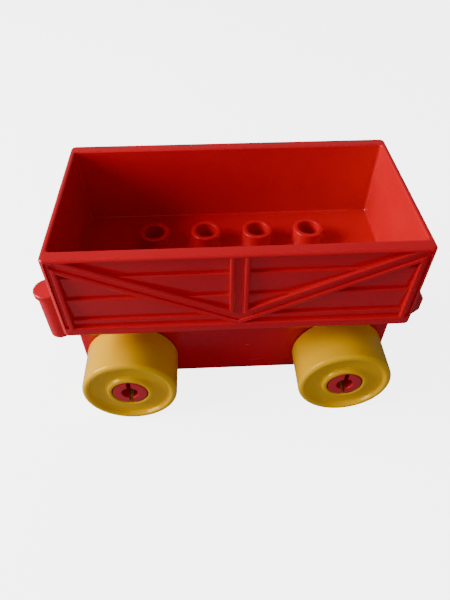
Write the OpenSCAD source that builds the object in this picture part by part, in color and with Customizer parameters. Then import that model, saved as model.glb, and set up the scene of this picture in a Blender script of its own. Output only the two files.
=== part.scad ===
// Toy farm wagon for large building bricks: an open box tub on a four-wheeled chassis.
// +X is forward, +Y to the left and +Z up. The origin is on the ground below the tub's centre.

/* [Tub] */
// Length of the tub over its end walls
tub_length = 96; // [88:0.2:112]
// Width of the tub over its side walls
tub_width = 51.8; // [50:0.2:60]
// Height of the tub walls
tub_height = 28.2; // [26:0.2:36]
// Thickness of a side wall, with its planks
side_wall = 3.6; // [3.2:0.1:4.2]
// Thickness of an end wall
end_wall = 1.6; // [1.2:0.1:2.4]
// Thickness of the tub floor
floor_thickness = 1.8; // [1.4:0.1:2.4]
// How far the walls hang below the floor
skirt_drop = 2.0; // [1.6:0.1:3]

/* [Studs] */
// Distance between stud centres
stud_pitch = 16; // [15.8:0.1:16.2]
// Diameter of a stud
stud_diameter = 9.36; // [9.2:0.02:9.6]
// Height of a stud above the floor
stud_height = 4.9; // [4:0.1:5.6]
// Diameter of the hollow in a stud
stud_hollow = 6.2; // [5.6:0.1:6.8]
// Studs along the wagon
stud_columns = 4; // [2:1:5]

/* [Side panels] */
// Height of the rail along the bottom of a panel
bottom_rail = 3.4; // [2.4:0.1:4.4]
// Height of the lip along the top of a panel
top_lip = 1.2; // [1:0.1:2]
// Height of one plank
plank_height = 7.8; // [7:0.1:9]
// Depth of the step between two planks
plank_step = 1.0; // [0.6:0.1:1.2]
// How far the frame stands proud of the planks
frame_proud = 0.6; // [0.4:0.1:0.8]
// Width of a brace over its two ridges
brace_width = 4.4; // [3.6:0.1:5]
// Width of one ridge of a brace
ridge_width = 0.9; // [0.7:0.1:1.2]

/* [Chassis] */
// Length of the chassis box
chassis_length = 95.8; // [86:0.2:110]
// Width of the chassis box
chassis_width = 31.8; // [31:0.1:34]
// Gap between the ground and the chassis
ground_gap = 5; // [3:0.1:7]
// Wall thickness of the chassis
chassis_wall = 1.8; // [1.4:0.1:2.4]

/* [Wheels] */
// Diameter of a wheel
wheel_diameter = 28.4; // [24:0.2:30]
// Width of a wheel
wheel_width = 14.4; // [12:0.2:16]
// Distance between the front and rear axles
wheelbase = 65.4; // [56:0.2:66]
// Height of the tub's lower edge above the ground
tub_base = 36.4; // [34:0.2:40]
// Radial gap between a pin and its wheel
running_gap = 0.06; // [0.02:0.01:0.1]

/* [Axle pins] */
// Diameter of the part of a pin that the wheel turns on
journal_diameter = 9.2; // [8:0.1:9.4]
// Diameter of the barb that holds the wheel
barb_diameter = 10.4; // [10:0.1:10.6]
// Diameter of the hollow in a pin
pin_hollow = 5; // [4:0.1:5.6]
// Width of the slot in a pin
slot_width = 1.3; // [1:0.1:1.8]

/* [Couplings] */
// Reach of each coupling beyond the tub centre
coupling_reach = 63.9; // [62:0.1:66]
// Diameter of the coupling post
post_diameter = 7.4; // [6:0.1:7.6]
// Diameter of the head of the coupling post
post_head_diameter = 9; // [8.4:0.1:9.2]
// Height of the post's top above the ground
post_top = 30; // [28:0.1:32]
// Diameter of the hole in the coupling eye
eye_bore = 9.6; // [9.4:0.1:10]
// Thickness of the coupling eye
eye_thickness = 5.8; // [4:0.1:6]
// Height of the eye's lower face above the ground
eye_base = 16.4; // [16:0.1:18]

/* [Hidden] */
$fn = 96;
eps = 0.01;

// the eye end is the front, and left and right are as seen when facing it
front = 1;
rear = -1;
left = 1;
right = -1;

// tub
wall_corner = 1;
floor_underside = tub_base + skirt_drop;
floor_top = floor_underside + floor_thickness;
rim_z = tub_base + tub_height;
inside_length = tub_length - 2 * end_wall;
inside_width = tub_width - 2 * side_wall;
first_step = 6.1;
planks = 4;
panel_half = tub_length / 2 - 2.45;
panel_top = tub_height - top_lip;
brace_inset = brace_width / 2;
groove_depth = 0.55;

// chassis
chassis_corner = 1;
axle_z = wheel_diameter / 2;
pad_length = inside_length - 0.4;
tube_outer = 13.2;
shank_length = 12;
rib_thickness = 1.6;
locating_rib = 1.2;
rib_clearance = 0.1;

// wheels
side_gap = 0.3;
wheel_inner = chassis_width / 2 + side_gap;
wheel_outer = wheel_inner + wheel_width;
tread_wall = 1.9;
web_thickness = 1.8;
web_recess = 1.4;
boss_diameter = 14.4;
barb_length = 2.35;
barb_relief = 0.3;
barb_back = wheel_outer - 0.2 - barb_length;
counterbore_floor = barb_back - 0.15;

// couplings
post_x = coupling_reach - post_head_diameter / 2;
post_base = 9;
head_height = 2;
tongue_top = 15.4;
tongue_width = 6;
eye_outer = eye_bore + 4.8;
nose_half = 3.6;
nose_corner = 1.2;
nose_wall = 3.7;
eye_x = coupling_reach - nose_wall - eye_bore / 2;

// ---------- shared shapes ----------

// Rectangle with quarter-round corners, centred on the origin
module rounded_rectangle(length, width, r) {
    square([length - 2 * r, width], center = true);
    square([length, width - 2 * r], center = true);
    for (sx = [-1, 1], sy = [-1, 1])
        translate([sx * (length / 2 - r), sy * (width / 2 - r)]) circle(r);
}

// Upright block with rounded corners between two heights
module block(length, width, r, z0, z1) {
    translate([0, 0, z0]) linear_extrude(z1 - z0) rounded_rectangle(length, width, r);
}

// Lays a Z axis along +Y or -Y, at an axle
module at_axle(end, side) {
    translate([end * wheelbase / 2, 0, axle_z]) rotate([-side * 90, 0, 0]) children();
}

// ---------- tub ----------

// Space in front of the stepped planks: each plank leans in towards its lower edge
module plank_space() {
    deep = tub_width / 2 - frame_proud - plank_step;
    function face(z, from) = deep + plank_step * (z - from) / plank_height;
    profile = [for (i = [0 : planks - 1])
        let (from = first_step + (i - 1) * plank_height,
             z0 = max(from, bottom_rail),
             z1 = min(from + plank_height, panel_top))
        each [[face(z0, from), z0], [face(z1, from), z1]]];
    outside = tub_width / 2 + 1;
    rotate([90, 0, 90]) linear_extrude(2 * panel_half, center = true)
        polygon(concat(profile, [[outside, panel_top], [outside, bottom_rail]]));
}

// A bar in the plane of the panel from one point to another: x along the wagon, z above the tub's edge
module bar(from, to, width, y0, y1) {
    run = to - from;
    translate([from.x, 0, from.y]) rotate([0, -atan2(run.y, run.x), 0])
        translate([-width, y0, -width / 2]) cube([norm(run) + 2 * width, y1 - y0, width]);
}

// The V of two sloping braces and the upright one between them, without their grooves
module brace_lines(width, y0, y1) {
    foot = [0, bottom_rail + brace_inset - 0.6];
    for (side = [-1, 1]) bar(foot, [side * panel_half, panel_top - 0.5], width, y0, y1);
    bar([0, bottom_rail + width], [0, panel_top], width, y0, y1);
}

module panel_window(y0, y1) {
    translate([-panel_half, y0, bottom_rail]) cube([2 * panel_half, y1 - y0, panel_top - bottom_rail]);
}

// One side's braces: bars with a groove down the middle, so that two ridges are left
module braces() {
    face = tub_width / 2;
    back = face - frame_proud - plank_step - 0.2;
    difference() {
        union() {
            intersection() {
                brace_lines(brace_width, back, face);
                panel_window(back, face);
            }
            for (side = [-1, 1])
                translate([side * (panel_half - ridge_width / 2) - ridge_width / 2, back, bottom_rail - eps])
                    cube([ridge_width, face - back, panel_top - bottom_rail + 2 * eps]);
        }
        intersection() {
            brace_lines(brace_width - 2 * ridge_width, face - groove_depth, face + 1);
            panel_window(face - groove_depth, face + 1);
        }
    }
}

// Groove between a corner of the tub and the upright ridge at the end of the planks
module corner_groove() {
    outer_ridge = 0.95;
    groove = tub_length / 2 - panel_half - outer_ridge;
    translate([panel_half, tub_width / 2 - groove_depth, bottom_rail])
        cube([groove, 1 + groove_depth, panel_top - bottom_rail]);
}

module stud(height) {
    difference() {
        cylinder(d = stud_diameter, h = height);
        translate([0, 0, floor_thickness]) cylinder(d = stud_hollow, h = height);
    }
}

module wagon_tub() {
    color("firebrick") {
        difference() {
            block(tub_length, tub_width, wall_corner, tub_base, rim_z);
            block(inside_length, inside_width, wall_corner, floor_top, rim_z + 1);
            block(inside_length, inside_width, wall_corner, tub_base - 1, floor_underside);
            for (turn = [0, 180]) rotate(turn) translate([0, 0, tub_base]) {
                plank_space();
                for (flip = [0, 1]) mirror([flip, 0, 0]) corner_groove();
            }
        }
        for (turn = [0, 180]) rotate(turn) translate([0, 0, tub_base]) braces();
        for (i = [0 : stud_columns - 1], side = [-1, 1])
            translate([(i - (stud_columns - 1) / 2) * stud_pitch, side * stud_pitch / 2, floor_underside])
                stud(floor_thickness + stud_height);
        // ribs under the floor that hold the chassis pad in place
        for (side = [-1, 1])
            translate([-pad_length / 2, side * (chassis_width / 2 + rib_clearance + locating_rib / 2)
                       - locating_rib / 2, tub_base + 0.2])
                cube([pad_length, locating_rib, skirt_drop - 0.2 + eps]);
    }
}

// ---------- chassis ----------

// Tongue and post at the rear: the next wagon's eye drops over the post
module coupling_post() {
    translate([-post_x, 0, post_base]) {
        cylinder(d = post_diameter, h = post_top - post_base - head_height + eps);
        translate([0, 0, post_top - post_base - head_height])
            cylinder(d = post_head_diameter, h = head_height);
    }
    translate([-post_x, -tongue_width / 2, post_base])
        cube([post_x - chassis_length / 2 + 1, tongue_width, tongue_top - post_base]);
}

// Outline of the eye: a ring drawn out to a flat nose and back to the chassis
module eye_outline() {
    nose_x = coupling_reach - eye_x - nose_corner;
    root_x = chassis_length / 2 - eye_x - 1;
    hull() {
        circle(d = eye_outer);
        for (side = [-1, 1]) translate([nose_x, side * (nose_half - nose_corner)]) circle(nose_corner);
    }
    translate([root_x, -eye_outer / 2]) square([-root_x, eye_outer]);
}

module coupling_eye() {
    translate([eye_x, 0, eye_base]) linear_extrude(eye_thickness) eye_outline();
}

module chassis() {
    box_top = tub_base - chassis_wall;
    inside = [chassis_length - 2 * chassis_wall, chassis_width - 2 * chassis_wall];
    color("crimson") difference() {
        union() {
            difference() {
                union() {
                    block(chassis_length, chassis_width, chassis_corner, ground_gap, tub_base);
                    block(pad_length, chassis_width, chassis_corner, tub_base - eps, floor_underside);
                }
                block(inside.x, inside.y, chassis_corner, ground_gap - 1, box_top);
                block(pad_length - 2 * chassis_wall, inside.y, chassis_corner,
                      box_top - 1, floor_underside - chassis_wall);
            }
            for (end = [-1, 1]) {
                // cross tube that both pins of an axle press into, hung on a rib
                translate([end * wheelbase / 2, 0, axle_z]) rotate([90, 0, 0])
                    cylinder(d = tube_outer, h = inside.y + 2 * eps, center = true);
                translate([end * wheelbase / 2 - rib_thickness / 2, -inside.y / 2 - eps, axle_z])
                    cube([rib_thickness, inside.y + 2 * eps, floor_underside - chassis_wall - axle_z + eps]);
            }
            coupling_post();
            coupling_eye();
        }
        for (end = [-1, 1])
            translate([end * wheelbase / 2, 0, axle_z]) rotate([90, 0, 0])
                cylinder(d = journal_diameter, h = chassis_width + 2, center = true);
        translate([eye_x, 0, eye_base - 1]) cylinder(d = eye_bore, h = eye_thickness + 2);
    }
}

// ---------- wheels ----------

// Half section of a wheel: [radius, distance from the wagon's centre line]
module wheel_section() {
    r = wheel_diameter / 2;
    bore = journal_diameter / 2 + running_gap;
    counterbore = barb_diameter / 2 + barb_relief;
    web_out = wheel_outer - web_recess;
    edge = 1.2;
    polygon([
        [bore, wheel_inner], [boss_diameter / 2, wheel_inner],
        [boss_diameter / 2, web_out - web_thickness], [r - tread_wall, web_out - web_thickness],
        [r - tread_wall, wheel_inner], [r - 0.3, wheel_inner], [r, wheel_inner + 0.3],
        [r, wheel_outer - edge],
        for (a = [15 : 15 : 90]) [r - edge + edge * cos(a), wheel_outer - edge + edge * sin(a)],
        [r - tread_wall, wheel_outer - 0.2], [r - tread_wall - 0.5, web_out],
        [boss_diameter / 2, web_out], [boss_diameter / 2 - 0.5, wheel_outer - 0.15],
        [counterbore + 0.3, wheel_outer - 0.15], [counterbore, wheel_outer - 0.45],
        [counterbore, counterbore_floor], [bore, counterbore_floor]
    ]);
}

module wheel(end, side) {
    color("gold") at_axle(end, side) rotate_extrude() wheel_section();
}

// ---------- axle pins ----------

// Split hollow pin: shank in the chassis, journal in the wheel, barb at the outer end
module axle_pin(end, side) {
    tip = wheel_outer - 0.2;
    root = chassis_width / 2 - shank_length;
    slot_depth = 9;
    color("crimson") at_axle(end, side) difference() {
        union() {
            translate([0, 0, root]) cylinder(d = journal_diameter, h = barb_back - root + eps);
            translate([0, 0, barb_back]) cylinder(d = barb_diameter, h = barb_length - 0.4);
            translate([0, 0, tip - 0.4 - eps])
                cylinder(d1 = barb_diameter, d2 = barb_diameter - 0.8, h = 0.4 + eps);
        }
        translate([0, 0, tip - slot_depth - 2]) cylinder(d = pin_hollow, h = slot_depth + 3);
        translate([-slot_width / 2, -barb_diameter, tip - slot_depth])
            cube([slot_width, 2 * barb_diameter, slot_depth + 1]);
    }
}

wagon_tub();
chassis();
wheel(front, left);  // wheel_front_left
wheel(front, right);  // wheel_front_right
wheel(rear, left);  // wheel_rear_left
wheel(rear, right);  // wheel_rear_right
axle_pin(front, left);  // axle_pin_front_left
axle_pin(front, right);  // axle_pin_front_right
axle_pin(rear, left);  // axle_pin_rear_left
axle_pin(rear, right);  // axle_pin_rear_right
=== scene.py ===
# %% [markdown]
# # A toy farm wagon in red and yellow plastic
# The wagon is a box tub that sits on a hollow chassis. Four wheels turn on split pins.
# Every piece is an injection moulding, so what makes it look real is the rounding of each edge,
# the wall thicknesses, and a gloss that is never perfectly even.
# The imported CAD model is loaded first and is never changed. The pieces below replace it one by one.

# %% Load the frame
import math

import bmesh
import bpy
from mathutils import Matrix, Vector


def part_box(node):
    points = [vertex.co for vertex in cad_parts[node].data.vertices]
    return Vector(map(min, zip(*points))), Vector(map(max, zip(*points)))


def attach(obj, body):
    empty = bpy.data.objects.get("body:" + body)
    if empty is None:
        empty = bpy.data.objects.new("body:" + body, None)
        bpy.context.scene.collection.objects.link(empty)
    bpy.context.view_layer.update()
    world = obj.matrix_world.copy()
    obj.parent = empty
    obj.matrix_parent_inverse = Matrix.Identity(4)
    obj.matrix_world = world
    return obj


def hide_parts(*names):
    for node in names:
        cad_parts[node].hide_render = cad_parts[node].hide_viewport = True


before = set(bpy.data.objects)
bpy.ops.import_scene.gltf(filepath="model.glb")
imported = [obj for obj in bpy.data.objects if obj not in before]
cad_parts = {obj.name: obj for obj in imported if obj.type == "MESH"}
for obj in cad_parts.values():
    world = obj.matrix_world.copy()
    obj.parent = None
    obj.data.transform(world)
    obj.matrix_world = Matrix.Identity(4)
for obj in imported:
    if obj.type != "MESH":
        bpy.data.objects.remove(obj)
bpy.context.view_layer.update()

MM = 0.001

# %% [markdown]
# ## Camera
# The wagon is small and is looked at from close by, from above and in front of its right side.
# A short distance with a 30 mm lens gives the strong spread of its walls, which a long lens
# from far away would flatten.

# %% Camera
camera_place = Vector((-8.0, -114.1, 144.1)) * MM
camera_pitch = math.radians(90 - 47.04)
camera_turn = math.radians(-2.75)
lens_mm = 30.04

camera_data = bpy.data.cameras.new("view_camera")
camera_data.lens = lens_mm
camera_data.sensor_width = 36
camera_data.clip_start = 0.005
camera = bpy.data.objects.new("view_camera", camera_data)
camera.location = camera_place
camera.rotation_euler = (camera_pitch, 0, camera_turn)
bpy.context.scene.collection.objects.link(camera)
bpy.context.scene.camera = camera
print("camera at", [round(v / MM, 1) for v in camera.location])

# %% [markdown]
# ## Helpers for modelling by hand
# Blender's operators act on whatever is selected. These few helpers select one object alone,
# pick its edges or faces by where they are, and apply a modifier, so that each step below reads
# like the clicks of a person at the keyboard.

# %% Selecting
def only(piece):
    """Selects one object alone, in object mode, and makes it the active one."""
    if bpy.context.mode != "OBJECT":
        bpy.ops.object.mode_set(mode="OBJECT")
    bpy.ops.object.select_all(action="DESELECT")
    piece.select_set(True)
    bpy.context.view_layer.objects.active = piece


def edit(piece, kind):
    """Opens one object in edit mode with nothing selected. kind is VERT, EDGE or FACE."""
    only(piece)
    bpy.ops.object.mode_set(mode="EDIT")
    bpy.ops.mesh.select_mode(type=kind)
    bpy.ops.mesh.select_all(action="DESELECT")


def pick(piece, kind, wanted):
    """Selects, in edit mode, the elements for which wanted(element) is true, and counts them."""
    bpy.ops.mesh.select_all(action="DESELECT")
    mesh = bmesh.from_edit_mesh(piece.data)
    chosen = [element for element in getattr(mesh, kind) if wanted(element)]
    for element in chosen:
        element.select_set(True)
    bmesh.update_edit_mesh(piece.data)
    return len(chosen)


def middle(edge):
    """The midpoint of an edge."""
    return (edge.verts[0].co + edge.verts[1].co) / 2


def along(edge, axis):
    """True where an edge runs along X, Y or Z, given as 0, 1 or 2."""
    run = edge.verts[1].co - edge.verts[0].co
    return abs(run[axis]) > 0.999 * run.length


def near(value, target, slack=0.01 * MM):
    """True where two lengths agree to within a hundredth of a millimetre."""
    return abs(value - target) < slack


# %% Blocks, rounded edges and cuts
def block(name, low, high):
    """A cube primitive stretched between two corners, with its place in its mesh."""
    low, high = Vector(low), Vector(high)
    bpy.ops.object.select_all(action="DESELECT")
    bpy.ops.mesh.primitive_cube_add(size=1, location=(low + high) / 2)
    piece = bpy.context.object
    piece.name = name
    piece.scale = high - low
    bpy.ops.object.transform_apply(location=True, rotation=True, scale=True)
    return piece


def sharp(edge):
    """True where two faces meet at over 20 degrees. A cut can leave flat edges inside a face."""
    return edge.is_manifold and edge.calc_face_angle() > math.radians(20)


def round_edges(piece, wanted, radius, segments=4):
    """Bevels the sharp edges that wanted(edge) picks, and returns how many they were."""
    edit(piece, "EDGE")
    count = pick(piece, "edges", lambda edge: sharp(edge) and wanted(edge))
    bpy.ops.mesh.bevel(offset=radius, segments=segments, affect="EDGES", loop_slide=False)
    bpy.ops.object.mode_set(mode="OBJECT")
    return count


def combine(piece, other, operation):
    """Cuts another closed shape out of a piece, or fuses it on, and removes the other shape."""
    only(piece)
    bpy.ops.object.modifier_add(type="BOOLEAN")
    change = piece.modifiers[-1]
    change.operation = operation
    change.solver = "MANIFOLD"
    change.object = other
    bpy.ops.object.modifier_apply(modifier=change.name)
    bpy.data.objects.remove(other)
    return piece


def split_faces(piece):
    """Splits faces of many sides into triangles. A face round a hole needs this before a bevel."""
    edit(piece, "FACE")
    pick(piece, "faces", lambda f: len(f.verts) > 4)
    bpy.ops.mesh.quads_convert_to_tris(ngon_method="BEAUTY")
    bpy.ops.object.mode_set(mode="OBJECT")


def cut(piece, other):
    """Takes a shape out of a piece."""
    return combine(piece, other, "DIFFERENCE")


def fuse(piece, other):
    """Joins a shape to a piece as one solid."""
    return combine(piece, other, "UNION")


def turn_about(piece, matrix):
    """Moves a piece's mesh by a matrix, and leaves its object at the origin."""
    only(piece)
    piece.matrix_world = matrix
    bpy.ops.object.transform_apply(location=True, rotation=True, scale=True)
    return piece


def twin(piece, name):
    """A copy of a piece with its own mesh."""
    copy = piece.copy()
    copy.data = piece.data.copy()
    copy.name = name
    bpy.context.scene.collection.objects.link(copy)
    return copy


def shade(piece, degrees=32):
    """Drops edges without a length, smooths the shading of the rounded edges, and keeps the large
    flat faces flat."""
    edit(piece, "EDGE")
    bpy.ops.mesh.select_all(action="SELECT")
    bpy.ops.mesh.dissolve_degenerate(threshold=0.001 * MM)
    bpy.ops.object.mode_set(mode="OBJECT")
    bpy.ops.object.shade_smooth_by_angle(angle=math.radians(degrees))
    bpy.ops.object.modifier_add(type="WEIGHTED_NORMAL")
    piece.modifiers[-1].keep_sharp = True
    bpy.ops.object.modifier_apply(modifier=piece.modifiers[-1].name)
    piece.data.name = piece.name
    print(piece.name, len(piece.data.polygons), "faces")
    return piece


# %% [markdown]
# ## The tub shell
# The tub is a box whose side walls are thick enough to carry planks in relief. It could be made
# from five slabs, but a moulding has no joints, so it starts as one cube, gets its corners
# rounded, and is then hollowed from above and, by a shallow step, from below. The cutting
# blocks are rounded first, and that is what leaves the fillets inside. The upper one also flares
# out in four small steps at its mouth, which rounds the inner edge of the rim.

# %% Tub shell
tub_low, tub_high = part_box("wagon_tub")
end_wall = 1.6 * MM
side_wall = 3.6 * MM
floor_thickness = 1.8 * MM
skirt_drop = 2.0 * MM
corner_radius = 1.5 * MM
foot_radius = 1.1 * MM
rim_radius = 0.7 * MM
lip_radius = 0.5 * MM
lip_steps = 4
inner_corner = 1.0 * MM
fillet = 0.8 * MM
beyond = 2 * MM

floor_under = tub_low.z + skirt_drop
floor_top = floor_under + floor_thickness
inner_x = tub_high.x - end_wall
inner_y = tub_high.y - side_wall

tub = block("tub", tub_low, tub_high)
round_edges(tub, lambda e: along(e, 2), corner_radius, 6)
round_edges(tub, lambda e: near(middle(e).z, tub_low.z), foot_radius, 5)
round_edges(tub, lambda e: near(middle(e).z, tub_high.z), rim_radius, 4)

hollow_top = tub_high.z - lip_radius
hollow = block("hollow", (-inner_x, -inner_y, floor_top), (inner_x, inner_y, hollow_top))
round_edges(hollow, lambda e: along(e, 2), inner_corner, 5)
round_edges(hollow, lambda e: near(middle(e).z, floor_top), fillet, 4)
edit(hollow, "FACE")
pick(hollow, "faces", lambda f: near(f.calc_center_median().z, hollow_top))
reach = Vector((inner_x, inner_y))
rise = 0.0
for step in range(1, lip_steps + 1):
    bend = math.radians(90 / lip_steps * step)
    wider = Vector((inner_x, inner_y)) + Vector((1, 1)) * lip_radius * (1 - math.cos(bend))
    bpy.ops.mesh.extrude_region_move(
        TRANSFORM_OT_translate={"value": (0, 0, lip_radius * math.sin(bend) - rise)})
    bpy.ops.transform.resize(value=(wider.x / reach.x, wider.y / reach.y, 1))
    reach, rise = wider, lip_radius * math.sin(bend)
bpy.ops.mesh.extrude_region_move(TRANSFORM_OT_translate={"value": (0, 0, beyond)})
bpy.ops.object.mode_set(mode="OBJECT")
cut(tub, hollow)

under = block("under", (-inner_x, -inner_y, tub_low.z - beyond), (inner_x, inner_y, floor_under))
round_edges(under, lambda e: along(e, 2), inner_corner, 3)
cut(tub, under)
print("tub", [round(v / MM, 1) for v in tub.dimensions], "mm, walls", end_wall / MM, "and",
      side_wall / MM, "mm")

# %% [markdown]
# ## Planks and braces on the long sides
# Each long side is a frame round four boards that overlap like weatherboarding: a board leans
# in towards its lower edge, and a small ledge is left where the next one starts. A V of two
# braces and an upright lie over them. Each brace is a channel: two thin ridges with a groove
# between. The window is cut out of the wall first, and boards and ridges are fused into it,
# each sunk a little into its neighbours so that the result is one closed skin.

# %% Panel sizes
bottom_rail = 3.4 * MM
top_lip = 1.2 * MM
plank_height = 7.8 * MM
plank_step = 0.8 * MM
first_step = 6.1 * MM
frame_proud = 0.7 * MM
brace_width = 4.5 * MM
upright_width = 5.2 * MM
ridge_width = 1.5 * MM
groove_depth = 0.6 * MM
outer_ridge = 1.15 * MM
sunk = 0.25 * MM
skin = 0.04 * MM

face = tub_high.y
panel_half = tub_high.x - 2.05 * MM
window_half = panel_half - ridge_width
panel_low = tub_low.z + bottom_rail
panel_high = tub_high.z - top_lip
plank_deep = face - frame_proud - plank_step
bar_back = plank_deep - 1 * MM
groove_end = tub_high.x - outer_ridge
print("window in mm:", round(2 * window_half / MM, 1), "by", round((panel_high - panel_low) / MM, 1))


# %% Cutting and fusing on both long sides
def on_both_sides(part, operation):
    """Uses a part made for the left side on that side and, turned half round, on the right one."""
    other = turn_about(twin(part, "other"), Matrix.Rotation(math.pi, 4, "Z"))
    combine(tub, part, operation)
    combine(tub, other, operation)


on_both_sides(block("window", (-window_half, plank_deep - 0.1 * MM, panel_low),
                    (window_half, face + beyond, panel_high)), "DIFFERENCE")
for end in (-1, 1):
    ends = sorted((end * panel_half, end * groove_end))
    on_both_sides(block("corner_groove", (ends[0], face - groove_depth, panel_low),
                        (ends[1], face + beyond, panel_high)), "DIFFERENCE")


def on_panel_face(edge):
    """True for the front edges of the window and the inner ones of the two corner grooves."""
    return all(near(abs(v.co.y), face) and abs(v.co.x) < groove_end - skin
               and panel_low - skin < v.co.z < panel_high + skin for v in edge.verts)


frame_round = 0.45 * MM
split_faces(tub)
print("frame edges rounded:", round_edges(tub, on_panel_face, frame_round, 4))


# %% Boards
board_round = 0.5 * MM


def board(index):
    """One leaning board. Its upper outer edge stands out by one step, and is softly rounded."""
    foot = tub_low.z + first_step + (index - 1) * plank_height
    low = max(foot, panel_low) - sunk
    high = min(foot + plank_height, panel_high + sunk)
    out_low, out_high = (plank_deep + plank_step * (z - foot) / plank_height for z in (low, high))
    plank = block("plank", (-window_half - sunk, bar_back, low), (window_half + sunk, out_low, high))
    edit(plank, "VERT")
    pick(plank, "verts", lambda v: near(v.co.z, high) and near(v.co.y, out_low))
    bpy.ops.transform.translate(value=(0, out_high - out_low, 0))
    bpy.ops.object.mode_set(mode="OBJECT")
    if high < panel_high:
        round_edges(plank, lambda e: near(middle(e).z, high) and near(middle(e).y, out_high),
                    board_round, 4)
    return plank


for index in range(4):
    on_both_sides(board(index), "UNION")
print("boards fused in:", len(tub.data.polygons), "faces so far")


# %% Braces
def strip(start, end, width, top, rounding=0.0):
    """A bar in the plane of the side, between two points given as (x, height)."""
    run = Vector((end[0] - start[0], end[1] - start[1]))
    bar = block("bar", (0, bar_back, -width / 2), (run.length, top, width / 2))
    if rounding:
        round_edges(bar, lambda e: near(middle(e).y, top) and along(e, 0), rounding, 4)
    lean = Matrix.Rotation(-math.atan2(run.y, run.x), 4, "Y")
    return turn_about(bar, Matrix.Translation((start[0], 0, start[1])) @ lean)


brace_foot = panel_low + brace_width / 2 - 0.6 * MM
brace_slope = (panel_high - 0.5 * MM - brace_foot) / panel_half
brace_cosine = math.cos(math.atan(brace_slope))
ridge_offset = (brace_width - ridge_width) / 2
upright_offset = (upright_width - ridge_width) / 2
ridge_round = 0.55 * MM
end_sunk = 0.35 * MM


def brace_height(distance, offset):
    """Height of a line beside a sloping brace's middle, at a distance from the wagon's middle."""
    return brace_foot + brace_slope * distance + offset / brace_cosine


def brace_distance(height, offset):
    """Distance from the wagon's middle at which that line reaches a height."""
    return (height - brace_foot - offset / brace_cosine) / brace_slope


channel_top = face - groove_depth - 0.01 * MM
ridge_top = face - skin
on_both_sides(strip((0, panel_low - sunk), (0, panel_high + sunk), 2 * upright_offset, channel_top),
              "UNION")
for side in (-1, 1):
    on_both_sides(strip((-side * 0.3 * MM, brace_height(-0.3 * MM, 0)),
                        (side * window_half, brace_height(window_half, 0)),
                        2 * ridge_offset, channel_top), "UNION")
for side in (-1, 1):
    lower_start = brace_distance(panel_low - sunk, -ridge_offset)
    lower_end = window_half + ridge_width / 2
    upper_end = brace_distance(panel_high + end_sunk, ridge_offset)
    meeting = brace_height(upright_offset, ridge_offset)
    lines = (((side * lower_start, panel_low - sunk),
              (side * lower_end, brace_height(lower_end, -ridge_offset))),
             ((side * upright_offset, meeting), (side * upper_end, panel_high + end_sunk)),
             ((side * upright_offset, meeting - 0.3 * MM),
              (side * upright_offset, panel_high + end_sunk)))
    for start, end in lines:
        on_both_sides(strip(start, end, ridge_width, ridge_top, ridge_round), "UNION")

# %% Where a brace's groove runs through the corner ridge
notch_in = window_half - 0.1 * MM
notch_out = panel_half + 0.3 * MM
notch_offset = ridge_width / 2 - ridge_offset
for side in (-1, 1):
    ends = sorted((side * notch_in, side * notch_out))
    notch = block("notch", (ends[0], face - groove_depth, brace_height(notch_in, notch_offset)),
                  (ends[1], face + beyond, panel_high - 0.02 * MM))
    edit(notch, "VERT")
    pick(notch, "verts", lambda v: near(abs(v.co.x), notch_out) and v.co.z < panel_high - beyond / 2)
    bpy.ops.transform.translate(value=(0, 0, brace_slope * (notch_out - notch_in)))
    bpy.ops.object.mode_set(mode="OBJECT")
    on_both_sides(notch, "DIFFERENCE")
print("long sides done:", len(tub.data.polygons), "faces")

# %% [markdown]
# ## Studs and the underside of the tub
# The bricks that ride in the wagon clip on eight hollow studs. One stud is shaped from a cylinder:
# its top is inset and pushed down to leave a wall, and both lips are rounded. It is then copied.
# The stud flares a little at its foot, which leaves the small fillet of a moulding once it is fused
# to the floor. Two ribs under the floor hold the chassis in place.


# %% Shaping tools for round pieces
def disc(name, radius, low, high, vertices=96):
    """A cylinder primitive along Z between two heights, centred on the Z axis."""
    bpy.ops.object.select_all(action="DESELECT")
    bpy.ops.mesh.primitive_cylinder_add(vertices=vertices, radius=radius, depth=high - low,
                                        location=(0, 0, (low + high) / 2))
    bpy.ops.object.transform_apply(location=True, rotation=True, scale=True)
    bpy.context.object.name = name
    return bpy.context.object


def pick_cap(piece, height):
    """Opens a piece in edit mode with its flat face at a height selected."""
    edit(piece, "FACE")
    pick(piece, "faces", lambda f: near(f.calc_center_median().z, height) and len(f.verts) > 8)


def inset(width):
    """Insets the selected face. It can't grow outwards, so each shape starts at its widest."""
    bpy.ops.mesh.inset(thickness=width)


def push(distance, scale=1.0):
    """Extrudes the selected face along Z, and scales it to give its wall a draft."""
    bpy.ops.mesh.extrude_region_move(TRANSFORM_OT_translate={"value": (0, 0, distance)})
    if scale != 1.0:
        bpy.ops.transform.resize(value=(scale, scale, 1))


def on_ring(radius, height, centre=(0, 0)):
    """A test for edges whose two ends lie on a circle at a height."""
    def test(edge):
        return all(near(math.hypot(v.co.x - centre[0], v.co.y - centre[1]), radius, 0.04 * MM)
                   and near(v.co.z, height, 0.02 * MM) for v in edge.verts)
    return test


# %% Studs
stud_pitch = 16 * MM
stud_radius = 4.68 * MM
stud_hollow = 3.1 * MM
stud_top = floor_top + 4.9 * MM
stud_floor = floor_top + 0.1 * MM
stud_foot = floor_top - 0.01 * MM
foot_round = 0.3 * MM
foot_ledge = foot_round + 0.02 * MM
hollow_draft = 0.97

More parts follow.
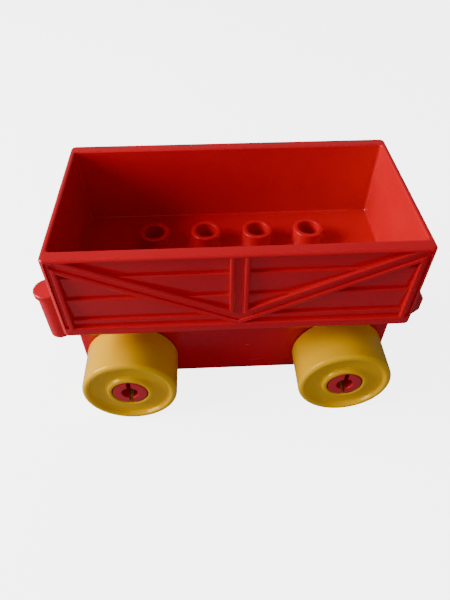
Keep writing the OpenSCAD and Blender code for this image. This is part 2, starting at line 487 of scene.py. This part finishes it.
stud = disc("stud", stud_radius + foot_ledge, floor_top - 0.8 * MM, stud_foot, 64)
pick_cap(stud, stud_foot)
inset(foot_ledge)
push(stud_top - stud_foot)
inset(stud_radius - stud_hollow)
push(stud_floor - stud_top, hollow_draft)
bpy.ops.object.mode_set(mode="OBJECT")
for radius, height, rounding in ((stud_radius, stud_foot, foot_round),
                                 (stud_radius, stud_top, 0.35 * MM),
                                 (stud_hollow, stud_top, 0.3 * MM),
                                 (stud_hollow * hollow_draft, stud_floor, 0.3 * MM)):
    round_edges(stud, on_ring(radius, height), rounding, 3)

for x, y in [((i - 1.5) * stud_pitch, row * stud_pitch / 2) for i in range(4) for row in (-1, 1)]:
    fuse(tub, turn_about(twin(stud, "stud_copy"), Matrix.Translation((x, y, 0))))
bpy.data.objects.remove(stud)
print("studs fused in:", len(tub.data.polygons), "faces so far")

# %% Ribs under the floor
pad_half = inner_x - 0.2 * MM
chassis_half_width = 15.9 * MM
rib_in = chassis_half_width + 0.1 * MM
rib_thickness = 1.2 * MM
rib_low = tub_low.z + 0.2 * MM
for side in (-1, 1):
    sides = sorted((side * rib_in, side * (rib_in + rib_thickness)))
    rib = block("rib", (-pad_half, sides[0], rib_low),
                (pad_half, sides[1], floor_under + 0.3 * MM))
    round_edges(rib, lambda e: near(middle(e).z, rib_low), 0.25 * MM, 2)
    fuse(tub, rib)
shade(tub)
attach(tub, "wagon")
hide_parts("wagon_tub")

# %% [markdown]
# ## The chassis
# The chassis is a deep box, open below, with thin walls. Two cross tubes run from wall to wall and
# take the axle pins, and a rib above each holds it to the roof. A pad on the roof fits into the
# tub's lower edge. It starts as one cube, as the tub does, and the coupling parts are fused on.

# %% Chassis box
half_length = 47.9 * MM
ground_gap = 5 * MM
wall = 1.8 * MM
axle_low, axle_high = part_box("wheel_front_left")
axle_x = (axle_low.x + axle_high.x) / 2
axle_z = (axle_low.z + axle_high.z) / 2
roof = tub_low.z
pad_top = floor_under - 0.02 * MM
inside_x = half_length - wall
inside_y = chassis_half_width - wall

chassis = block("chassis_body", (-half_length, -chassis_half_width, ground_gap),
                (half_length, chassis_half_width, roof))
round_edges(chassis, lambda e: along(e, 2), inner_corner, 5)
round_edges(chassis, lambda e: near(middle(e).z, ground_gap), 0.35 * MM, 3)
pad = block("pad", (-pad_half, -chassis_half_width, roof - 1 * MM),
            (pad_half, chassis_half_width, pad_top))
round_edges(pad, lambda e: along(e, 2), inner_corner, 5)
fuse(chassis, pad)

space = block("space", (-inside_x, -inside_y, 0), (inside_x, inside_y, roof - wall))
round_edges(space, lambda e: along(e, 2) or near(middle(e).z, roof - wall), fillet, 4)
cut(chassis, space)
space = block("pad_space", (wall - pad_half, -inside_y, roof - wall - 1.5 * MM),
              (pad_half - wall, inside_y, floor_under - wall))
round_edges(space, lambda e: along(e, 2), fillet, 4)
cut(chassis, space)
print("chassis walls", wall / MM, "mm, open below")


# %% Cross tubes and their ribs
def lay_along_y(piece, x, z, side=1):
    """Turns a piece that was made along Z so that it points out to one side at an axle."""
    return turn_about(piece, Matrix.Translation((x, 0, z))
                      @ Matrix.Rotation(-side * math.pi / 2, 4, "X"))


journal = 4.6 * MM
tube_radius = 6.6 * MM
hanger_half = 0.8 * MM
reach = inside_y + 0.4 * MM
for end in (-1, 1):
    fuse(chassis, lay_along_y(disc("tube", tube_radius, -reach, reach, 64), end * axle_x, axle_z))
    fuse(chassis, block("hanger", (end * axle_x - hanger_half, -reach, axle_z),
                        (end * axle_x + hanger_half, reach, floor_under - wall + 0.4 * MM)))
    bore = disc("bore", journal + 0.02 * MM, -chassis_half_width - beyond,
                chassis_half_width + beyond, 64)
    cut(chassis, lay_along_y(bore, end * axle_x, axle_z))
print("axles at x = +-", round(axle_x / MM, 1), "mm, z =", round(axle_z / MM, 1), "mm")

# %% Coupling post
post_x = 59.4 * MM
post_base = 9 * MM
post_top = 30 * MM
post_radius = 3.7 * MM
head_radius = 4.5 * MM
head_height = 2 * MM
tongue_top = 15.4 * MM
tongue_half = 3 * MM
into_wall = 1 * MM

tongue = block("tongue", (-post_x, -tongue_half, post_base),
               (-half_length + into_wall, tongue_half, tongue_top))
round_edges(tongue, lambda e: along(e, 0), 0.8 * MM, 4)
fuse(chassis, tongue)
post = disc("post", post_radius, post_base, post_top - head_height / 2, 64)
round_edges(post, on_ring(post_radius, post_base), 0.5 * MM, 4)
head = disc("head", head_radius, post_top - head_height, post_top, 64)
round_edges(head, on_ring(head_radius, post_top), 0.55 * MM, 4)
round_edges(head, on_ring(head_radius, post_top - head_height), 0.3 * MM, 3)
fuse(post, head)
fuse(chassis, turn_about(post, Matrix.Translation((-post_x, 0, 0))))

# %% Coupling eye
eye_x = 55.4 * MM
eye_base = 16.4 * MM
eye_top = 22.2 * MM
eye_radius = 7.2 * MM
eye_hole = 4.8 * MM
eye_round = 0.6 * MM
nose_x = 63.9 * MM
nose_back = 3.75 * MM
nose_half = 8.47 * MM
nose_taper = 0.36


def flat_edge(edge):
    """True for the edges round the upper and lower faces of a flat piece."""
    return near(edge.verts[0].co.z, edge.verts[1].co.z)


eye = turn_about(disc("eye", eye_radius, eye_base, eye_top), Matrix.Translation((eye_x, 0, 0)))
nose = block("nose", (eye_x, -nose_half, eye_base), (nose_x, nose_half, eye_top))
edit(nose, "VERT")
pick(nose, "verts", lambda v: near(v.co.x, nose_x))
bpy.ops.transform.resize(value=(1, nose_taper, 1))
bpy.ops.mesh.select_all(action="SELECT")
bpy.ops.mesh.bisect(plane_co=(eye_x + nose_back, 0, 0), plane_no=(1, 0, 0), use_fill=True,
                    clear_inner=True)
bpy.ops.object.mode_set(mode="OBJECT")
round_edges(nose, lambda e: along(e, 2) and near(middle(e).x, nose_x), 0.65 * MM, 4)
root = block("root", (half_length - into_wall, -eye_radius, eye_base), (eye_x, eye_radius, eye_top))
for part in (eye, nose, root):
    round_edges(part, flat_edge, eye_round, 4)
fuse(eye, nose)
fuse(eye, root)
hole = turn_about(disc("hole", eye_hole, eye_base - beyond, eye_top + beyond),
                  Matrix.Translation((eye_x, 0, 0)))
cut(eye, hole)
split_faces(eye)
for height in (eye_base, eye_top):
    round_edges(eye, on_ring(eye_hole, height, (eye_x, 0)), 0.35 * MM, 3)
fuse(chassis, eye)
shade(chassis)
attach(chassis, "wagon")
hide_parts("chassis")

# %% [markdown]
# ## The wheels
# A moulded wheel is a rim, a thin web and a boss, open on its inner side. A profile could be spun,
# but insets and extrusions on a cylinder keep each step visible. The outer face comes first, then
# the open inner side, and the two faces of the bore are bridged to let the pin through.

# %% One wheel, along Z with its inner side at zero
wheel_radius = (axle_high.x - axle_low.x) / 2
wheel_in, wheel_out = axle_low.y, axle_high.y
width = wheel_out - wheel_in
ring_radius = 12.3 * MM
web_radius = 11.8 * MM
boss_radius = 7.2 * MM
boss_top_radius = 6.75 * MM
counterbore = 5.5 * MM
bore_radius = journal + 0.06 * MM
web_recess = 1.4 * MM
boss_recess = 0.15 * MM
counterbore_depth = 2.7 * MM
web_thickness = 1.8 * MM

wheel = disc("wheel", wheel_radius, 0, width)
pick_cap(wheel, width)
inset(wheel_radius - ring_radius)
push(-web_recess, web_radius / ring_radius)
inset(web_radius - boss_radius)
push(web_recess - boss_recess, boss_top_radius / boss_radius)
inset(boss_top_radius - counterbore)
push(boss_recess - counterbore_depth)
inset(counterbore - bore_radius)
pick_cap(wheel, 0)
inset(wheel_radius - ring_radius)
push(width - web_recess - web_thickness)
inset(ring_radius - boss_radius)
push(web_recess + web_thickness - width)
inset(boss_radius - bore_radius)
pick(wheel, "faces", lambda f: len(f.verts) > 8)
bpy.ops.mesh.bridge_edge_loops()
bpy.ops.object.mode_set(mode="OBJECT")

tread_round = 1.15 * MM
web_face = width - web_recess
for radius, height, rounding in ((wheel_radius, width, tread_round), (wheel_radius, 0, 0.3 * MM),
                                 (ring_radius, width, 0.4 * MM), (web_radius, web_face, 0.45 * MM),
                                 (boss_radius, web_face, 0.45 * MM),
                                 (boss_top_radius, width - boss_recess, 0.4 * MM),
                                 (counterbore, width - boss_recess, 0.3 * MM),
                                 (ring_radius, 0, 0.3 * MM)):
    round_edges(wheel, on_ring(radius, height), rounding, 5 if rounding == tread_round else 3)
tread = wheel.data.attributes.new("tread", "FLOAT", "POINT")
for vertex, mark in zip(wheel.data.vertices, tread.data):
    radius = math.hypot(vertex.co.x, vertex.co.y)
    mark.value = 1.0 if radius > wheel_radius - 0.05 * MM else 0.0
shade(wheel)

# %% [markdown]
# ## The axle pins
# Each pin is a hollow tube with a barb at its end and a slot across it. The slot lets the two
# halves spring together while the wheel is pushed on. It starts at the barb, which is the widest
# part: its lower face is inset and pushed down to make the shank.

# %% One pin, along Z
barb_radius = 5.2 * MM
pin_tip = wheel_out - 0.2 * MM
barb_back = pin_tip - 2.35 * MM
pin_root = chassis_half_width - 12 * MM
pin_hollow = 2.5 * MM
slot_depth = 9 * MM
slot_half = 0.65 * MM

pin = disc("pin", barb_radius, barb_back, pin_tip)
pick_cap(pin, barb_back)
inset(barb_radius - journal)
push(pin_root - barb_back)
pick_cap(pin, pin_tip)
inset(barb_radius - pin_hollow)
push(-slot_depth - 2 * MM)
bpy.ops.object.mode_set(mode="OBJECT")
round_edges(pin, on_ring(barb_radius, pin_tip), 0.4 * MM, 3)
round_edges(pin, on_ring(pin_hollow, pin_tip), 0.25 * MM, 3)
slot = block("slot", (-slot_half, -2 * barb_radius, pin_tip - slot_depth),
             (slot_half, 2 * barb_radius, pin_tip + beyond))
cut(pin, slot)
shade(pin)

# %% Four wheels and four pins
wheels, pins = [], []
for end_name, end in (("front", 1), ("rear", -1)):
    for side_name, side in (("left", 1), ("right", -1)):
        place = end_name + "_" + side_name
        copy = twin(wheel, "turned_wheel_" + place)
        lay_along_y(turn_about(copy, Matrix.Translation((0, 0, wheel_in))), end * axle_x, axle_z, side)
        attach(copy, place + "_wheel")
        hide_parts("wheel_" + place)
        wheels.append(copy)
        copy = lay_along_y(twin(pin, "split_pin_" + place), end * axle_x, axle_z, side)
        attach(copy, "wagon")
        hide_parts("axle_pin_" + place)
        pins.append(copy)
for pattern in (wheel, pin):
    bpy.data.objects.remove(pattern)
print("wheels:", [w.name for w in wheels])

# %% [markdown]
# ## Finishes
# All pieces are the same glossy plastic in different colours. Real moulded plastic is not a mirror:
# it has a faint orange-peel swell, fine hairline scratches from play, and a few specks of dust.
# These effects are the same on each colour, so they are node groups that are built once.


# %% Node helpers
def group_of(name, inputs, outputs):
    """A shader node group with named sockets, and its input and output nodes."""
    group = bpy.data.node_groups.new(name, "ShaderNodeTree")
    for socket, kind, value in inputs:
        made = group.interface.new_socket(socket, in_out="INPUT", socket_type=kind)
        if value is not None:
            made.default_value = value
    for socket, kind in outputs:
        group.interface.new_socket(socket, in_out="OUTPUT", socket_type=kind)
    return group, group.nodes.new("NodeGroupInput"), group.nodes.new("NodeGroupOutput")


def node(tree, kind, **values):
    """A node with some of its settings, and those of its input sockets, given by name."""
    made = tree.nodes.new(kind)
    for name, value in values.items():
        if hasattr(made, name):
            setattr(made, name, value)
        else:
            made.inputs[name.replace("_", " ").title()].default_value = value
    return made


def math_node(tree, operation, first, second, clamp=False):
    """A math node. Each of its two values is a number or the socket that it comes from."""
    made = tree.nodes.new("ShaderNodeMath")
    made.operation = operation
    made.use_clamp = clamp
    for socket, value in zip(made.inputs, (first, second)):
        if isinstance(value, (int, float)):
            socket.default_value = value
        else:
            tree.links.new(value, socket)
    return made.outputs[0]


def threshold(tree, source, low, high):
    """A mask that rises from 0 to 1 as a value goes from low to high."""
    ramp = tree.nodes.new("ShaderNodeMapRange")
    ramp.interpolation_type = "SMOOTHSTEP"
    for socket, value in (("From Min", low), ("From Max", high)):
        ramp.inputs[socket].default_value = value
    tree.links.new(source, ramp.inputs["Value"])
    return ramp.outputs["Result"]


def noise(tree, vector, scale, detail=2.0):
    """The value of a noise pattern with a scale in features per metre."""
    made = node(tree, "ShaderNodeTexNoise", scale=scale, detail=detail)
    tree.links.new(vector, made.inputs["Vector"])
    return made.outputs["Fac"]


# %% Moulded surface: swell and flow
surface, inside, outside = group_of(
    "moulded_surface", [("Vector", "NodeSocketVector", None)],
    [("Height", "NodeSocketFloat"), ("Flow", "NodeSocketFloat")])
swell = noise(surface, inside.outputs["Vector"], 330, 1.0)
grain = noise(surface, inside.outputs["Vector"], 5200, 2.0)
height = math_node(surface, "ADD", swell, math_node(surface, "MULTIPLY", grain, 0.10))
surface.links.new(height, outside.inputs["Height"])
surface.links.new(threshold(surface, noise(surface, inside.outputs["Vector"], 26, 3.0), 0.3, 0.7),
                  outside.inputs["Flow"])

# %% Hairline scratches
scratches, inside, outside = group_of(
    "hairline_scratches",
    [("Vector", "NodeSocketVector", None), ("Amount", "NodeSocketFloat", 0.5)],
    [("Mask", "NodeSocketFloat")])
lines = None
for turn, stretch, scale in ((0.5, 26, 900), (-0.9, 34, 700), (1.7, 20, 1100)):
    lay = node(scratches, "ShaderNodeMapping")
    lay.inputs["Rotation"].default_value = (turn, turn * 0.7, turn * 1.3)
    lay.inputs["Scale"].default_value = (1, stretch, stretch * 0.8)
    scratches.links.new(inside.outputs["Vector"], lay.inputs["Vector"])
    layer = threshold(scratches, noise(scratches, lay.outputs["Vector"], scale / stretch, 1.0),
                      0.70, 0.78)
    lines = layer if lines is None else math_node(scratches, "MAXIMUM", lines, layer)
patches = threshold(scratches, noise(scratches, inside.outputs["Vector"], 60, 2.0), 0.42, 0.66)
mask = math_node(scratches, "MULTIPLY", lines, patches)
scratches.links.new(math_node(scratches, "MULTIPLY", mask, inside.outputs["Amount"]),
                    outside.inputs["Mask"])

# %% Specks of dust and small nicks
specks, inside, outside = group_of(
    "specks",
    [("Vector", "NodeSocketVector", None), ("Scale", "NodeSocketFloat", 260.0),
     ("Size", "NodeSocketFloat", 0.08)],
    [("Mask", "NodeSocketFloat")])
cells = node(specks, "ShaderNodeTexVoronoi")
specks.links.new(inside.outputs["Vector"], cells.inputs["Vector"])
specks.links.new(inside.outputs["Scale"], cells.inputs["Scale"])
chance = node(specks, "ShaderNodeSeparateColor")
specks.links.new(cells.outputs["Color"], chance.inputs["Color"])
few = threshold(specks, chance.outputs["Red"], 0.94, 0.95)
spot = math_node(specks, "LESS_THAN", cells.outputs["Distance"],
                 math_node(specks, "MULTIPLY", inside.outputs["Size"], chance.outputs["Green"]))
specks.links.new(math_node(specks, "MULTIPLY", spot, few), outside.inputs["Mask"])
print("effects:", [g.name for g in bpy.data.node_groups])


# %% Plastic
def use(tree, group, vector, **values):
    """Places an effect in a material with its own values."""
    made = tree.nodes.new("ShaderNodeGroup")
    made.node_tree = group
    tree.links.new(vector, made.inputs["Vector"])
    for name, value in values.items():
        made.inputs[name.title()].default_value = value
    return made


def blend_colour(tree, amount, first, second):
    """Mixes two colours, each given as a colour or as the socket that it comes from."""
    made = tree.nodes.new("ShaderNodeMix")
    made.data_type = "RGBA"
    tree.links.new(amount, made.inputs["Factor"])
    for socket, value in zip(made.inputs[6:8], (first, second)):
        if isinstance(value, tuple):
            socket.default_value = (*value, 1)
        else:
            tree.links.new(value, socket)
    return made.outputs[2]


def plastic(name, deep, pale, scuffed, glint, gloss, wear, worn_at=None):
    """A glossy moulded plastic. Its colour varies from deep to pale with the flow of the melt, and
    glint is the tint of its highlights. Scratches can be kept to where a point attribute is one."""
    material = bpy.data.materials.new(name)
    material.use_nodes = True
    tree = material.node_tree
    shader = tree.nodes["Principled BSDF"]
    shader.inputs["IOR"].default_value = 1.46
    shader.inputs["Specular Tint"].default_value = (*glint, 1)
    place = tree.nodes.new("ShaderNodeTexCoord").outputs["Object"]
    skin_of = use(tree, surface, place)
    scratched = use(tree, scratches, place, amount=wear).outputs["Mask"]
    if worn_at:
        worn = node(tree, "ShaderNodeAttribute")
        worn.attribute_name = worn_at
        scratched = math_node(tree, "MULTIPLY", scratched, worn.outputs["Fac"])
    dusty = use(tree, specks, place, scale=210.0, size=0.07).outputs["Mask"]
    colour = blend_colour(tree, skin_of.outputs["Flow"], deep, pale)
    colour = blend_colour(tree, math_node(tree, "MULTIPLY", scratched, 0.35), colour, scuffed)
    colour = blend_colour(tree, math_node(tree, "MULTIPLY", dusty, 0.45), colour, scuffed)
    rough = math_node(tree, "ADD", gloss, math_node(tree, "MULTIPLY", skin_of.outputs["Flow"], 0.05))
    rough = math_node(tree, "ADD", rough, math_node(tree, "MULTIPLY", scratched, 0.22))
    rough = math_node(tree, "ADD", rough, math_node(tree, "MULTIPLY", dusty, 0.4), clamp=True)
    bump = node(tree, "ShaderNodeBump", strength=0.35, distance=0.00002)
    tree.links.new(skin_of.outputs["Height"], bump.inputs["Height"])
    tree.links.new(colour, shader.inputs["Base Color"])
    tree.links.new(rough, shader.inputs["Roughness"])
    tree.links.new(bump.outputs["Normal"], shader.inputs["Normal"])
    return material


def finish_with(piece, material):
    """Gives a piece one material, in place of what it had."""
    piece.data.materials.clear()
    piece.data.materials.append(material)


red_glint = (1, 0.7, 0.72)
tub_red = plastic("glossy_red", deep=(0.60, 0.0025, 0.011), pale=(0.66, 0.0035, 0.013),
                  scuffed=(0.68, 0.03, 0.03), glint=red_glint, gloss=0.19, wear=0.3)
chassis_red = plastic("glossy_deep_red", deep=(0.55, 0.003, 0.014), pale=(0.60, 0.004, 0.016),
                      scuffed=(0.64, 0.03, 0.03), glint=red_glint, gloss=0.21, wear=0.3)
pin_red = plastic("glossy_pin_red", deep=(0.52, 0.010, 0.020), pale=(0.57, 0.013, 0.026),
                  scuffed=(0.64, 0.07, 0.08), glint=(1, 0.8, 0.8), gloss=0.26, wear=0.3)
wheel_yellow = plastic("glossy_yellow", deep=(0.80, 0.42, 0.0), pale=(0.84, 0.445, 0.0),
                       scuffed=(0.66, 0.36, 0.01), glint=(1, 0.75, 0.2), gloss=0.16, wear=0.5,
                       worn_at="tread")
finish_with(tub, tub_red)
finish_with(chassis, chassis_red)
for piece in wheels:
    finish_with(piece, wheel_yellow)
for piece in pins:
    finish_with(piece, pin_red)
print("materials:", [m.name for m in (tub_red, chassis_red, pin_red, wheel_yellow)])

# %% [markdown]
# ## Floor and light
# A plain pale floor and one large soft lamp low on the rear side, as from a window. A weak fill
# and the sky light the shadows, so the side that faces the camera stays dim but readable. The
# floor and the sky are bright for the camera only: that gives a nearly white background, and the
# light on the wagon stays as it is.

# %% Floor
seen_brightness = 4.5
room_brightness = 0.27

bpy.ops.object.select_all(action="DESELECT")
bpy.ops.mesh.primitive_plane_add(size=6, location=(0, 0, 0))
floor = bpy.context.object
floor.name = "pale_floor"
floor_paint = bpy.data.materials.new("pale_floor_paint")
floor_paint.use_nodes = True
tree = floor_paint.node_tree
paint = tree.nodes["Principled BSDF"]
paint.inputs["Roughness"].default_value = 0.85
paint.inputs["Specular IOR Level"].default_value = 0.1
seen = tree.nodes.new("ShaderNodeLightPath").outputs["Is Camera Ray"]
tree.links.new(blend_colour(tree, seen, (0.24, 0.25, 0.28), (0.93, 0.93, 0.93)),
               paint.inputs["Base Color"])
tree.links.new(math_node(tree, "MULTIPLY", seen, seen_brightness),
               paint.inputs["Emission Strength"])
paint.inputs["Emission Color"].default_value = (1, 1, 1, 1)
finish_with(floor, floor_paint)


# %% Lamps
def lamp(name, place, aim, size, power, tint=(1, 1, 1)):
    """A square soft lamp that points at a spot on the wagon."""
    data = bpy.data.lights.new(name, "AREA")
    data.size = size
    data.energy = power
    data.color = tint
    made = bpy.data.objects.new(name, data)
    made.location = place
    made.rotation_euler = (Vector(aim) - Vector(place)).to_track_quat("-Z", "Y").to_euler()
    bpy.context.scene.collection.objects.link(made)
    return made


def from_round(azimuth, elevation, distance):
    """A place round the wagon: azimuth 0 is the right side, and 90 is the rear."""
    azimuth, elevation = math.radians(azimuth), math.radians(elevation)
    level = math.cos(elevation)
    return Vector((-math.sin(azimuth) * level, -math.cos(azimuth) * level,
                   math.sin(elevation))) * distance


heart = (0, 0, 0.03)
lamp("window", from_round(85, 27, 0.55), heart, size=0.30, power=5.6, tint=(1, 0.98, 0.95))
fill = lamp("fill", from_round(-15, 18, 0.8), heart, size=0.8, power=1.2, tint=(0.95, 0.97, 1))
fill.visible_glossy = False

# %% Sky
sky = bpy.data.worlds.new("pale_room")
sky.use_nodes = True
tree = sky.node_tree
tree.nodes["Background"].inputs["Color"].default_value = (0.93, 0.96, 1, 1)
seen_directly = tree.nodes.new("ShaderNodeLightPath").outputs["Is Camera Ray"]
brightness = math_node(tree, "MULTIPLY", seen_directly, seen_brightness)
brightness = math_node(tree, "ADD", brightness, room_brightness)
tree.links.new(brightness, tree.nodes["Background"].inputs["Strength"])
bpy.context.scene.world = sky
